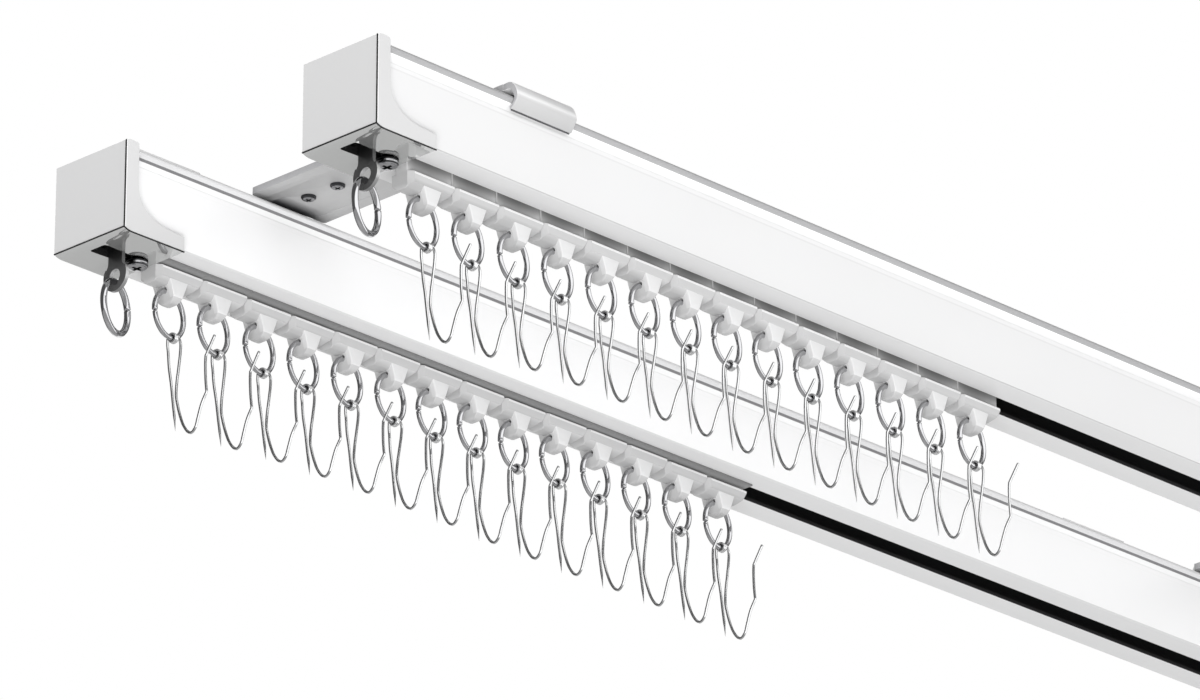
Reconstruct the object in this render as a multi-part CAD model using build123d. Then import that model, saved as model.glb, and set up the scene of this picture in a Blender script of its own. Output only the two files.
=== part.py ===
from build123d import *
import math
import os

# Double curtain track: two box-section rails side by side, white end caps with
# an eyelet stop at each end, a row of moulded runners on each rail, each runner
# with a split ring and a wire pleat hook, and two sheet steel wall brackets.
#
# The shapes are drawn in a drawing frame (millimetres) with X along the rails
# from the left cap's end face, Y from the front rail to the rear rail and the
# wall, Z up from the end face's top edge. Every solid is moved to the part's
# own frame at the end: origin on the wall, in the middle of the fixing holes.

# ---------------------------------------------------------------- dimensions
TRACK_LEN = 600.0          # cap face to cap face
RAIL_GAP = 110.0           # front rail centre to rear rail centre
WALL_Y = 160.0             # front rail centre to the wall
HOLE_MID_Z = 20.0          # middle of the fixing holes above the drawing zero

RAIL_END = 5.6             # rail's end behind the cap's face
RAIL_HALF = 13.95          # half the rail's width at its faces
RAIL_UPPER_HALF = 13.70    # the face is set back under the bead
RAIL_TOP = -1.3
RAIL_BOTTOM = -28.48
RAIL_WALL = 1.3
BEAD_HALF = 15.8           # half the width over the rolled beads
SLOT_HALF = 4.41           # half the runner slot
WEB_Z = -17.7              # underside of the web over the runner channel
CHANNEL_FLOOR = -5.3       # floor of the clip channel in the rail's top
CHANNEL_HALF = 12.1
CHANNEL_MOUTH = 9.0

CAP_LEN = 25.1
CAP_HALF = 15.85
CAP_TOP = 0.95
CAP_BOTTOM = -29.95
CAP_FACE_TOP = 0.0         # where the flat end face stops and rounds over
CAP_FACE_BOTTOM = -28.9
CAP_BLOCK = 5.4            # length of the cap above the swept cheek
CAP_SLOT_HALF = 3.25
CAP_SLOT_START = 4.6
CAP_CORE = 1.8

SCREW_X = 20.0             # cap screw's axis
SCREW_HEAD_R = 3.4
SCREW_HEAD_BOTTOM = -33.2
SCREW_HEAD_TOP = -30.2
SCREW_R = 2.0
SCREW_POCKET_R = 4.3

STOP_X = 11.8              # eyelet plate's mid plane
STOP_T = 2.0
STOP_HALF = 3.1
EYE_Z = -37.8
EYE_R = 5.1
EYE_HOLE_R = 2.75
STOP_RING_R = 8.2          # ring radius to the middle of its wire
STOP_RING_WIRE = 0.9
STOP_RING_YAW = 21.0
STOP_RING_TOP = -39.55     # height of the wire's middle at the ring's top

RUNNERS = 14
FRONT_FIRST = 35.25        # first runner's middle on the front rail
FRONT_PITCH = 19.0
REAR_FIRST = 34.75
REAR_PITCH = 18.9
RUNNER_LEN = 18.8
RUNNER_HALF = 4.1
FLANGE_TOP = -31.3
FLANGE_EDGE = -33.2
KEEL_Z = -36.45
KEEL_HALF = 1.9
NECK_LEN = 17.8
NECK_HALF = 2.6
HEAD_HALF = 6.4
HEAD_TOP = -20.6
TONGUE_TOP_HALF = 3.9      # half the tongue's length along the rail, top
TONGUE_TIP_HALF = 1.85     # and at the bottom
TONGUE_DEPTH_HALF = 3.9
TONGUE_BOTTOM = -42.2

RING_R = 8.0
RING_WIRE = 0.7
RING_YAW = 11.0
RING_TOP = -37.5
RING_HOLE_R = 1.25
RING_GAP_AT = 188.0        # where the ring is split, degrees from +d
RING_GAP = 5.0
REAR_RAISE = 1.6           # the rear runners hang this much closer to their rail

HOOK_WIRE = 0.45
COIL_R = 1.42              # coil radius to the middle of the wire
COIL_PITCH = 0.84
COIL_TURNS = 3
LEG_OFFSET = 0.84          # each leg's distance from the middle of the coil

BRACKET_X = 73.5           # left bracket's middle
ARM_W = 32.6
ARM_Z = 1.4                # underside of the front arm
SHEET = 2.2
CLIP_W = 27.0
TONGUE_W = 22.0
WALL_PLATE_TOP = 37.0
FIX_HOLE_R = 2.6
FIX_HOLE_LOW = 10.0
FIX_HOLE_HIGH = 30.0

# --------------------------------------------------------------- small tools


def to_frame(shape):
    """Drawing frame to the part's own frame."""
    return shape.moved(Location((-TRACK_LEN / 2, -WALL_Y, -HOLE_MID_Z)))


def yz_prism(points, x0, x1):
    """A closed (Y, Z) outline pushed along X from x0 to x1."""
    plane = Plane(origin=(x0, 0, 0), x_dir=(0, 1, 0), z_dir=(1, 0, 0))
    return extrude(plane * make_face(Polyline(*points, close=True)), x1 - x0)


def box(x0, x1, y0, y1, z0, z1):
    return Pos((x0 + x1) / 2, (y0 + y1) / 2, (z0 + z1) / 2) * Box(x1 - x0, y1 - y0, z1 - z0)


def upright(radius, x, y, z0, z1):
    return Pos(x, y, (z0 + z1) / 2) * Cylinder(radius, z1 - z0)


def as_solids(shape):
    found = shape.solids()
    return found[0] if len(found) == 1 else Compound(children=list(found))


def write(name, shapes):
    """One STEP file for a node: one solid, or a group of separate solids."""
    solids = []
    for s in shapes if isinstance(shapes, list) else [shapes]:
        solids += list(to_frame(s).solids())
    out = solids[0] if len(solids) == 1 else Compound(children=solids)
    export_step(out, f"parts/{name}.step")


# --------------------------------------------------------------------- rails


def rail_outline():
    """Right half of the extrusion's outline, from the top middle round to the
    slot, then back inside."""
    b = BEAD_HALF
    h = RAIL_HALF
    u = RAIL_UPPER_HALF
    return [
        (CHANNEL_MOUTH, RAIL_TOP), (b - 1.3, RAIL_TOP), (b - 0.65, RAIL_TOP - 0.22),
        (b - 0.17, RAIL_TOP - 0.65), (b, RAIL_TOP - 1.15), (b - 0.12, RAIL_TOP - 1.55),
        (u, RAIL_TOP - 2.55), (u, -6.0), (h, -6.5), (h, RAIL_BOTTOM + 0.35),
        (h - 0.35, RAIL_BOTTOM), (SLOT_HALF, RAIL_BOTTOM), (SLOT_HALF, RAIL_BOTTOM + RAIL_WALL),
        (h - RAIL_WALL, RAIL_BOTTOM + RAIL_WALL), (h - RAIL_WALL, WEB_Z), (0, WEB_Z),
    ]


def rail(y_mid):
    right = rail_outline()
    # the clip channel in the top closes the outline
    top = [(0, CHANNEL_FLOOR), (CHANNEL_HALF, CHANNEL_FLOOR), (CHANNEL_HALF, RAIL_TOP - 1.15),
           (CHANNEL_MOUTH, RAIL_TOP - 1.15)]
    half = top + right
    left = [(-y, z) for y, z in reversed(half) if abs(y) > 1e-9]
    pts = [(y + y_mid, z) for y, z in half + left]
    body = yz_prism(pts, RAIL_END, TRACK_LEN - RAIL_END)
    # upper chamber between the channel floor and the web
    chamber = box(RAIL_END - 1, TRACK_LEN, y_mid - (RAIL_UPPER_HALF - 1.35), y_mid + (RAIL_UPPER_HALF - 1.35),
                  WEB_Z + 1.2, CHANNEL_FLOOR - 1.2)
    return body - chamber


# ---------------------------------------------------------------------- caps


def cap_profile():
    """Side view (X, Z) of the cap: end block, swept cheek, long bottom."""
    rx, rz = 16.9, -13.2
    r = rx - CAP_BLOCK
    wall = Line((CAP_BLOCK, CAP_TOP), (CAP_BLOCK, rz))
    sweep_arc = ThreePointArc((CAP_BLOCK, rz), (rx - r * math.cos(math.radians(45)), rz - r * math.sin(math.radians(45))),
                              (rx, rz - r))
    lines = [
        ThreePointArc((0, CAP_FACE_TOP), (1.35, 0.68), (3.2, CAP_TOP)),
        Line((3.2, CAP_TOP), (CAP_BLOCK, CAP_TOP)),
        wall, sweep_arc,
        Line((rx, rz - r), (CAP_LEN, -24.85)),
        Line((CAP_LEN, -24.85), (CAP_LEN, CAP_BOTTOM)),
        Line((CAP_LEN, CAP_BOTTOM), (3.6, CAP_BOTTOM)),
        ThreePointArc((3.6, CAP_BOTTOM), (1.55, -29.64), (0, CAP_FACE_BOTTOM)),
        Line((0, CAP_FACE_BOTTOM), (0, CAP_FACE_TOP)),
    ]
    return make_face(Curve() + lines)


def end_cap():
    """Left cap, its slot's middle on Y = 0."""
    plane = Plane(origin=(0, CAP_HALF, 0), x_dir=(1, 0, 0), z_dir=(0, -1, 0))
    body = extrude(plane * cap_profile(), 2 * CAP_HALF)
    # room for the rail between the cheeks
    body -= box(RAIL_END - 0.1, 40, -14.15, 14.15, RAIL_BOTTOM - 0.1, 10)
    # the block is a shell
    body -= box(CAP_CORE, RAIL_END, -CAP_HALF + CAP_CORE, CAP_HALF - CAP_CORE, RAIL_BOTTOM - 0.1, -0.9)
    # hollow plug that enters the rail's upper chamber
    plug = box(CAP_CORE - 0.3, 16.0, -12.1, 12.1, WEB_Z + 1.4, CHANNEL_FLOOR - 1.4)
    plug -= box(CAP_CORE, 17.0, -10.6, 10.6, WEB_Z + 2.8, CHANNEL_FLOOR - 2.8)
    body += plug
    # slot for the eyelet plate and round pocket for the screw
    body -= box(CAP_SLOT_START, SCREW_X, -CAP_SLOT_HALF, CAP_SLOT_HALF, CAP_BOTTOM - 1, RAIL_BOTTOM + 0.5)
    body -= upright(SCREW_POCKET_R, SCREW_X, 0, CAP_BOTTOM - 1, RAIL_BOTTOM + 0.5)
    # fine rounding of the cheeks' free edges
    return body


def stop_plate():
    """Steel stop: a plate on the rail's inner ledges with an eyelet bent down
    through the slot."""
    ledge = RAIL_BOTTOM + RAIL_WALL + 0.1
    foot = box(STOP_X - STOP_T / 2, 24.0, -9.0, 9.0, ledge, ledge + 2.0)
    stem = box(STOP_X - STOP_T / 2, STOP_X + STOP_T / 2, -STOP_HALF, STOP_HALF, EYE_Z, ledge + 1.0)
    eye = Pos(STOP_X, 0, EYE_Z) * Rot(0, 90, 0) * Cylinder(EYE_R, STOP_T)
    # gusset that widens the stem into the eye
    flare = yz_prism([(-STOP_HALF, -33.2), (STOP_HALF, -33.2), (EYE_R - 0.25, EYE_Z + 1.6), (-EYE_R + 0.25, EYE_Z + 1.6)],
                     STOP_X - STOP_T / 2, STOP_X + STOP_T / 2)
    hole = Pos(STOP_X, 0, EYE_Z) * Rot(0, 90, 0) * Cylinder(EYE_HOLE_R, STOP_T + 2)
    body = foot + stem + eye + flare - hole
    rim = body.edges().filter_by(GeomType.CIRCLE).filter_by(lambda e: abs(e.radius - EYE_HOLE_R) < 0.01)
    body = fillet(rim, 0.6)
    body -= upright(SCREW_R + 0.05, SCREW_X, 0, ledge - 2, ledge + 4)
    return body


def cap_screw():
    """Pan head jacking screw, its tip against the web."""
    head = upright(SCREW_HEAD_R, SCREW_X, 0, SCREW_HEAD_BOTTOM, SCREW_HEAD_TOP)
    head = fillet(head.edges().filter_by(GeomType.CIRCLE).sort_by(Axis.Z)[0], 1.1)
    cross = box(SCREW_X - 1.8, SCREW_X + 1.8, -0.4, 0.4, SCREW_HEAD_BOTTOM - 1, SCREW_HEAD_BOTTOM + 1.5)
    cross += box(SCREW_X - 0.4, SCREW_X + 0.4, -1.8, 1.8, SCREW_HEAD_BOTTOM - 1, SCREW_HEAD_BOTTOM + 1.5)
    shank = upright(SCREW_R, SCREW_X, 0, SCREW_HEAD_TOP, WEB_Z - 0.02)
    return head - cross + shank


def split_ring(radius, wire, gap_at, gap):
    """Ring in the plane of d (its local X) and Z, split for threading."""
    plane = Plane(origin=(0, 0, 0), x_dir=(1, 0, 0), z_dir=(0, -1, 0))
    start = gap_at + gap / 2
    section = Plane(origin=(radius, 0, 0), x_dir=(1, 0, 0), z_dir=(0, -1, 0)) * Circle(wire)
    # the section is turned about the local Y axis, from the split round to the split
    section = Plane(origin=(radius, 0, 0), x_dir=(1, 0, 0), z_dir=(0, 0, 1)) * Circle(wire)
    ring = revolve(section, Axis((0, 0, 0), (0, 1, 0)), revolution_arc=360 - gap)
    return Rot(0, -start, 0) * ring


def stop_ring(x, y):
    ring = split_ring(STOP_RING_R, STOP_RING_WIRE, 7.0, 2.4)
    return Pos(x, y, STOP_RING_TOP - STOP_RING_R) * Rot(0, 0, STOP_RING_YAW) * ring


def mirrored_end(shape):
    """Left end piece to right end piece."""
    return mirror(shape, about=Plane(origin=(TRACK_LEN / 2, 0, 0), x_dir=(0, 1, 0), z_dir=(1, 0, 0)))


# ------------------------------------------------------------------- runners


def runner(raised=0.0):
    """One moulded runner, its middle on X = 0, the slot's middle on Y = 0. The part below the rail is raised."""
    h = RUNNER_LEN / 2
    hull = yz_prism([(-RUNNER_HALF, FLANGE_TOP), (RUNNER_HALF, FLANGE_TOP), (RUNNER_HALF, FLANGE_EDGE),
                     (KEEL_HALF, KEEL_Z), (-KEEL_HALF, KEEL_Z), (-RUNNER_HALF, FLANGE_EDGE)], -h, h)
    plan = Pos(0, 0, KEEL_Z - 1) * extrude(RectangleRounded(RUNNER_LEN, 2 * RUNNER_HALF, 3.0), 8)
    lift = Pos(0, 0, raised)
    body = lift * (hull & plan)
    # neck through the slot and the gliding head on the rail's ledges
    ledge = RAIL_BOTTOM + RAIL_WALL
    neck = Pos(0, 0, FLANGE_TOP - 0.5 + raised) * extrude(RectangleRounded(NECK_LEN, 2 * NECK_HALF, 1.2), ledge + 1.6 - FLANGE_TOP - raised)
    head = Pos(0, 0, ledge + 0.1) * extrude(RectangleRounded(NECK_LEN, 2 * HEAD_HALF, 3.0), 2.6)
    riser = Pos(0, 0, ledge + 2.0) * extrude(RectangleRounded(NECK_LEN - 4, 5.0, 1.2), HEAD_TOP - ledge - 2.0)
    body = body + neck + head + riser
    # tongue: a wedge along the rail, rounded underneath
    front = Plane(origin=(0, TONGUE_DEPTH_HALF, 0), x_dir=(1, 0, 0), z_dir=(0, -1, 0))
    t, b = TONGUE_TOP_HALF, TONGUE_TIP_HALF
    zt, zb = FLANGE_EDGE - 0.2, TONGUE_BOTTOM
    wedge_face = make_face(Polyline((-t, zt), (-b - 0.25, zb + 1.5), (-b + 0.6, zb), (b - 0.6, zb), (b + 0.25, zb + 1.5),
                                    (t, zt), close=True))
    wedge = extrude(front * wedge_face, 2 * TONGUE_DEPTH_HALF)
    side = Plane(origin=(-6, 0, 0), x_dir=(0, 1, 0), z_dir=(1, 0, 0))
    r = 2.7
    d = TONGUE_DEPTH_HALF
    u_shape = make_face(Curve() + [
        Line((-d, zt + 1), (-d, zb + r)),
        ThreePointArc((-d, zb + r), (-d + r * (1 - math.sqrt(0.5)), zb + r * (1 - math.sqrt(0.5))), (-d + r, zb)),
        Line((-d + r, zb), (d - r, zb)),
        ThreePointArc((d - r, zb), (d - r * (1 - math.sqrt(0.5)), zb + r * (1 - math.sqrt(0.5))), (d, zb + r)),
        Line((d, zb + r), (d, zt + 1)),
        Line((d, zt + 1), (-d, zt + 1)),
    ])
    tongue = wedge & extrude(side * u_shape, 12)
    body += lift * tongue
    body -= Pos(0, 0, RING_TOP - 0.3 + raised) * Rot(0, 0, RING_YAW) * Rot(0, 90, 0) * Cylinder(RING_HOLE_R, 30)
    return as_solids(body)


def runner_ring(raised=0.0):
    """Split ring through the tongue, local origin at the runner's middle."""
    ring = split_ring(RING_R, RING_WIRE, RING_GAP_AT, RING_GAP)
    return Pos(0, 0, RING_TOP - RING_R + raised) * Rot(0, 0, RING_YAW) * ring


def wire_leg(points, radii, d_at):
    """Round wire along a bent line of (h, z) points in the plane square to the
    ring's wire, at the distance d_at along it."""
    # local frame: X = d, along the ring's wire; h = -Y
    path = FilletPolyline(*[(d_at, -h, z) for h, z in points], radius=radii)
    first = Vector(d_at, -points[0][0], points[0][1])
    second = Vector(d_at, -points[1][0], points[1][1])
    start = Plane(origin=first, x_dir=(1, 0, 0), z_dir=second - first)
    return sweep(start * Circle(HOOK_WIRE), path=path)


def pleat_hook():
    """Wire hook: three coils on the ring's bottom, a straight pin on one side
    and a U with a bent tip on the other. Local origin in the coil's middle."""
    # the coils lie against each other and are drawn as one turned solid
    w = HOOK_WIRE
    coils = None
    for i in range(COIL_TURNS):
        x = (i - (COIL_TURNS - 1) / 2) * COIL_PITCH
        c = Plane(origin=(x, COIL_R, 0), x_dir=(1, 0, 0), z_dir=(0, 0, 1)) * Circle(w)
        coils = c if coils is None else coils + c
    coil = revolve(coils, Axis((0, 0, 0), (1, 0, 0)), revolution_arc=360)
    pin = wire_leg([(-COIL_R, 0.0), (-2.1, -4.2), (-1.9, -9.2), (-1.2, -15.0), (-0.66, -21.0), (0.03, -30.0)],
                   [3.0, 10.0, 10.0, 10.0], -LEG_OFFSET)
    bow = wire_leg([(COIL_R, 0.0), (2.75, -3.8), (1.6, -10.0), (0.42, -17.6), (1.1, -22.5), (3.0, -29.9), (5.5, -32.6),
                    (8.0, -28.9), (9.9, -22.9), (12.0, -19.3), (11.8, -8.3), (15.3, -1.9)],
                   [3.0, 12.0, 6.0, 8.0, 3.0, 2.6, 6.0, 2.0, 1.2, 0.9], LEG_OFFSET)
    return as_solids(coil + pin + bow)


def hook_at_ring(hook, raised=0.0):
    """Hook moved to the ring's bottom, local origin at the runner's middle."""
    return Pos(0, 0, RING_TOP - 2 * RING_R + raised) * Rot(0, 0, RING_YAW) * hook


# ------------------------------------------------------------------ brackets


def front_arm():
    """Sheet steel arm over the front rail, with its front end curled round the
    rail's bead, middle on X = 0."""
    w, c = ARM_W / 2, CLIP_W / 2
    z0, z1 = ARM_Z, ARM_Z + SHEET
    plan = make_face(Polyline((-w, -12.0), (-w, 100.0), (w, 100.0), (w, -7.0), (c, -12.0), close=True))
    plate = Pos(0, 0, z0) * extrude(plan, SHEET)
    curl = yz_prism([(-11.0, z1), (-13.6, z1 + 0.15), (-15.4, z1 - 0.5), (-16.8, z1 - 2.1), (-17.7, -0.6), (-17.85, -1.8),
                     (-17.5, -2.9), (-15.5, -5.6), (-14.5, -5.0), (-16.0, -2.9), (-16.1, -1.8), (-15.6, -0.2), (-14.4, z0 - 0.3),
                     (-13.0, z0), (-11.0, z0)], -c, c)
    body = plate + curl
    # shallow impression of the wall arm's round end, and the joint screws' holes
    mark = Pos(0, 100.0, 0) * Box(TONGUE_W, 2 * (100.0 - 74.5), 10) + Pos(0, 74.5, 0) * Cylinder(TONGUE_W / 2, 10)
    groove = (mark & box(-30, 30, 50, 101, z0 - 1, z0 + 0.22))
    body -= groove
    for y in (75.0, 88.0):
        body -= upright(1.6, -2.0, y, -2, 7)
    body -= upright(1.6, 0, 0, -2, 7)
    return body


def wall_arm():
    """Wall bracket: a round-ended tongue over the front arm, a joggle down on to
    the rear rail and a plate against the wall, middle on X = 0."""
    w = ARM_W / 2
    t = TONGUE_W / 2
    z0 = ARM_Z
    tongue = box(-t, t, 74.5, 103.0, z0 + SHEET, z0 + 2 * SHEET) + upright(t, 0, 74.5, z0 + SHEET, z0 + 2 * SHEET)
    wide = yz_prism([(99.0, z0 + SHEET), (101.5, z0 + SHEET), (103.5, z0), (WALL_Y, z0), (WALL_Y, WALL_PLATE_TOP),
                     (WALL_Y - SHEET, WALL_PLATE_TOP), (WALL_Y - SHEET, z0 + SHEET + 1.5),
                     (WALL_Y - SHEET - 0.5, z0 + SHEET + 0.5), (WALL_Y - SHEET - 1.5, z0 + SHEET),
                     (104.5, z0 + SHEET), (102.5, z0 + 2 * SHEET), (99.0, z0 + 2 * SHEET)], -w, w)
    body = tongue + wide
    for y in (75.0, 88.0):
        body -= upright(1.6, -2.0, y, -2, 7)
    body -= upright(1.6, 0, RAIL_GAP, -2, 7)
    for z in (FIX_HOLE_LOW, FIX_HOLE_HIGH):
        body -= Pos(0, WALL_Y, z) * Rot(90, 0, 0) * Cylinder(FIX_HOLE_R, 12)
    return body


def lock_clip(half_top, length):
    """Snap clip: a flat seat on the rail's top with two legs that hook under the
    clip channel's lips. Middle on X = 0, Y = 0."""
    m = CHANNEL_MOUTH - 0.3
    z = RAIL_TOP + 0.1
    t = ARM_Z - 0.02
    lip = RAIL_TOP - 1.15 - 0.1
    half = [(half_top, z), (half_top, t - 0.5), (half_top - 0.5, t)]
    legs = [(m - 1.4, z), (m - 1.4, lip - 1.2), (m + 1.6, lip - 1.2), (m + 1.6, lip - 0.6), (m, lip), (m, z)]
    pts = [(-y, zz) for y, zz in reversed(half)] + []
    outline = ([(-half_top + 0.5, t), (-half_top, t - 0.5), (-half_top, z)]
               + [(-y, zz) for y, zz in reversed(legs)]
               + legs
               + half)
    body = yz_prism(outline, -length / 2, length / 2)
    return body - upright(1.25, 0, 0, -5, 5)


def small_screw(head_z, tip_z):
    """Pan head screw, its axis on X = Y = 0."""
    s = 1 if tip_z > head_z else -1
    zs = sorted((head_z, head_z - s * 1.3))
    head = upright(2.4, 0, 0, zs[0], zs[1])
    outer = head.edges().filter_by(GeomType.CIRCLE).sort_by(Axis.Z)[0 if s > 0 else -1]
    head = fillet(outer, 0.6)
    end = head_z - s * 1.3
    cuts = sorted((end - s * 0.5, end + s * 0.7))
    head -= box(-1.3, 1.3, -0.3, 0.3, cuts[0], cuts[1])
    head -= box(-0.3, 0.3, -1.3, 1.3, cuts[0], cuts[1])
    zz = sorted((head_z, tip_z))
    return head + upright(1.5, 0, 0, zz[0], zz[1])


def clip_screw(head_z, tip_z):
    zz = sorted((head_z, tip_z))
    s = 1 if tip_z > head_z else -1
    zs = sorted((head_z, head_z - s * 1.3))
    head = upright(2.4, 0, 0, zs[0], zs[1])
    outer = head.edges().filter_by(GeomType.CIRCLE).sort_by(Axis.Z)[0 if s > 0 else -1]
    head = fillet(outer, 0.6)
    end = head_z - s * 1.3
    cuts = sorted((end - s * 0.5, end + s * 0.7))
    head -= box(-1.3, 1.3, -0.3, 0.3, cuts[0], cuts[1])
    head -= box(-0.3, 0.3, -1.3, 1.3, cuts[0], cuts[1])
    return head + upright(1.2, 0, 0, zz[0], zz[1])


# ------------------------------------------------------------------ the part


def main():
    os.makedirs("parts", exist_ok=True)

    write("rail_front", rail(0.0))
    write("rail_rear", rail(RAIL_GAP))

    cap, stop, screw = end_cap(), stop_plate(), cap_screw()
    ring = stop_ring(STOP_X - 0.2, 0.0)
    screws = []
    for y, row in ((0.0, "front"), (RAIL_GAP, "rear")):
        for side in ("left", "right"):
            def place(s):
                s = Pos(0, y, 0) * s
                return s if side == "left" else mirrored_end(s)
            write(f"end_cap_{row}_{side}", place(cap))
            write(f"stop_plate_{row}_{side}", place(stop))
            write(f"stop_ring_{row}_{side}", place(ring))
            screws.append(place(screw))
    write("cap_screws", screws)

    arm, wall = front_arm(), wall_arm()
    clip_f, clip_r = lock_clip(13.2, 24.0), lock_clip(17.4, 24.0)
    small = []
    for x, side in ((BRACKET_X, "left"), (TRACK_LEN - BRACKET_X, "right")):
        write(f"bracket_front_arm_{side}", Pos(x, 0, 0) * arm)
        write(f"bracket_wall_arm_{side}", Pos(x, 0, 0) * wall)
        write(f"lock_clip_front_{side}", Pos(x, 0, 0) * clip_f)
        write(f"lock_clip_rear_{side}", Pos(x, RAIL_GAP, 0) * clip_r)
        for y in (75.0, 88.0):
            small.append(Pos(x - 2.0, y, 0) * small_screw(ARM_Z + 0.22, ARM_Z + 2 * SHEET + 1.4))
        small.append(Pos(x, 0, 0) * clip_screw(ARM_Z + SHEET, RAIL_TOP + 0.4))
        small.append(Pos(x, RAIL_GAP, 0) * clip_screw(ARM_Z + SHEET, RAIL_TOP + 0.4))
    write("bracket_screws", small)

    drop = pleat_hook()
    apart = (1, RUNNERS)
    for row, y, first, pitch, up in (("front", 0.0, FRONT_FIRST, FRONT_PITCH, 0.0),
                                     ("rear", RAIL_GAP, REAR_FIRST, REAR_PITCH, REAR_RAISE)):
        body, loop, hook = runner(up), runner_ring(up), hook_at_ring(drop, up)
        for k in range(1, RUNNERS + 1):
            at = Pos(first + (k - 1) * pitch, y, 0)
            if k in apart:
                write(f"runner_{row}_{k:02d}", at * body)
                write(f"runner_ring_{row}_{k:02d}", at * loop)
                write(f"pleat_hook_{row}_{k:02d}", at * hook)
            else:
                write(f"runner_{row}_{k:02d}", [at * body, at * loop, at * hook])


main()
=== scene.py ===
import math

import bmesh
import bpy
from mathutils import Matrix, Vector


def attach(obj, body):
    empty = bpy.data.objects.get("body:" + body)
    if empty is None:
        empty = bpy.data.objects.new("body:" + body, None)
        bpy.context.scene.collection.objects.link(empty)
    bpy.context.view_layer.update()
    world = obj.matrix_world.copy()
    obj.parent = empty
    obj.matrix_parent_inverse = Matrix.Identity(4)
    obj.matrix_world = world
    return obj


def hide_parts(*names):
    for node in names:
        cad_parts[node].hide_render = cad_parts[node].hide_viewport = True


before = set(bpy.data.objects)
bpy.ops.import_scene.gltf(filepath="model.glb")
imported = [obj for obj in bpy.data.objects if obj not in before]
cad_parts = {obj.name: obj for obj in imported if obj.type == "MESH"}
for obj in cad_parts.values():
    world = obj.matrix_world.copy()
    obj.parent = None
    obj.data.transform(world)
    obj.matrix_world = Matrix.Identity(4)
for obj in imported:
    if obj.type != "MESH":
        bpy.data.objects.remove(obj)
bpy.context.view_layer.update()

# Shapes are drawn in millimetres in a drawing frame: X from the left end face,
# Y from the front rail's middle towards the wall, Z from the end face's top.
LENGTH, GAP, WALL_Y, HOLE_Z = 600.0, 110.0, 160.0, 20.0
TO_ROW = Matrix.Translation((-LENGTH / 2000, -WALL_Y / 1000, -HOLE_Z / 1000)) @ Matrix.Scale(0.001, 4)


# ------------------------------------------------------------------ materials


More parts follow.
